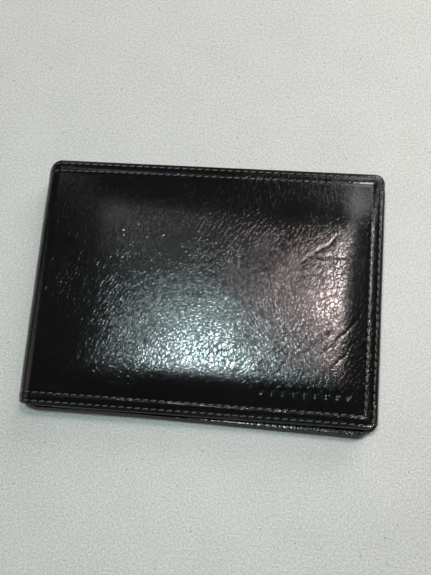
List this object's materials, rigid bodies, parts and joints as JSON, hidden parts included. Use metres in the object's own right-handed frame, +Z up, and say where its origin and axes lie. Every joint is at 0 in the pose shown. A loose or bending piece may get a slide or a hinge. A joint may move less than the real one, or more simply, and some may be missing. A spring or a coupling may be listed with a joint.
{
  "type": "bifold wallet",
  "caption": "Black leather bifold wallet, closed: stitched cover, note compartment, stepped card pockets and a hinged window leaf, opening like a book at the fold.",
  "frame": {"origin": "middle of the closed wallet's base, on the surface it lies on", "axes": "+X from the fold towards the open edge, +Y towards the note mouth, +Z up out of the front cover, with the wallet closed and lying on its back cover"},
  "size_m": [0.12, 0.0888, 0.0131],
  "materials": {
    "cover_leather": "polished grain",
    "pocket_leather": "satin grain",
    "lining": "matte woven",
    "stiffener_board": "matte bonded board",
    "thread": "waxed",
    "window": "clear film"
  },
  "bodies": {
    "back_half": {"back_cover": "cover_leather", "back_cover_outer_stitching": "thread", "back_cover_inner_stitching": "thread", "back_cover_stiffener": "stiffener_board", "back_note_lining": "lining", "back_note_wall": "lining", "back_card_pocket_1": "pocket_leather", "back_card_pocket_2": "pocket_leather", "back_card_pocket_3": "pocket_leather", "back_pocket_stitching": "thread", "leaf_anchor_strip": "cover_leather"},
    "spine": {"spine_cover": "cover_leather", "spine_note_lining": "lining", "spine_gutter_lining": "lining"},
    "front_half": {"front_cover": "cover_leather", "front_cover_outer_stitching": "thread", "front_cover_inner_stitching": "thread", "front_cover_stiffener": "stiffener_board", "front_note_lining": "lining", "front_note_wall": "lining", "front_card_pocket_1": "pocket_leather", "front_card_pocket_2": "pocket_leather", "front_card_pocket_3": "pocket_leather", "front_pocket_stitching": "thread"},
    "leaf": {"leaf_hinge_strip": "cover_leather", "leaf_back_panel": "pocket_leather", "leaf_card_pocket": "pocket_leather", "leaf_window_frame": "cover_leather", "leaf_clear_window": "window", "leaf_stitching": "thread"}
  },
  "joints": [
    {"name": "spine_fold", "type": "hinge", "parent": "back_half", "child": "spine", "pos_m": [-0.05858, 0, 0.00182], "axis": [0, -1, 0], "range_deg": [0, 85]},
    {"name": "front_fold", "type": "hinge", "parent": "spine", "child": "front_half", "pos_m": [-0.05858, 0, 0.00928], "axis": [0, -1, 0], "range_deg": [0, 85]},
    {"name": "leaf_fold", "type": "hinge", "parent": "back_half", "child": "leaf", "pos_m": [-0.05285, 0, 0.0047], "axis": [0, -1, 0], "range_deg": [0, 85]}
  ],
  "couplings": [
    {"joint": "front_fold", "follows": "spine_fold", "ratio": 1},
    {"joint": "leaf_fold", "follows": "spine_fold", "ratio": 1}
  ]
}
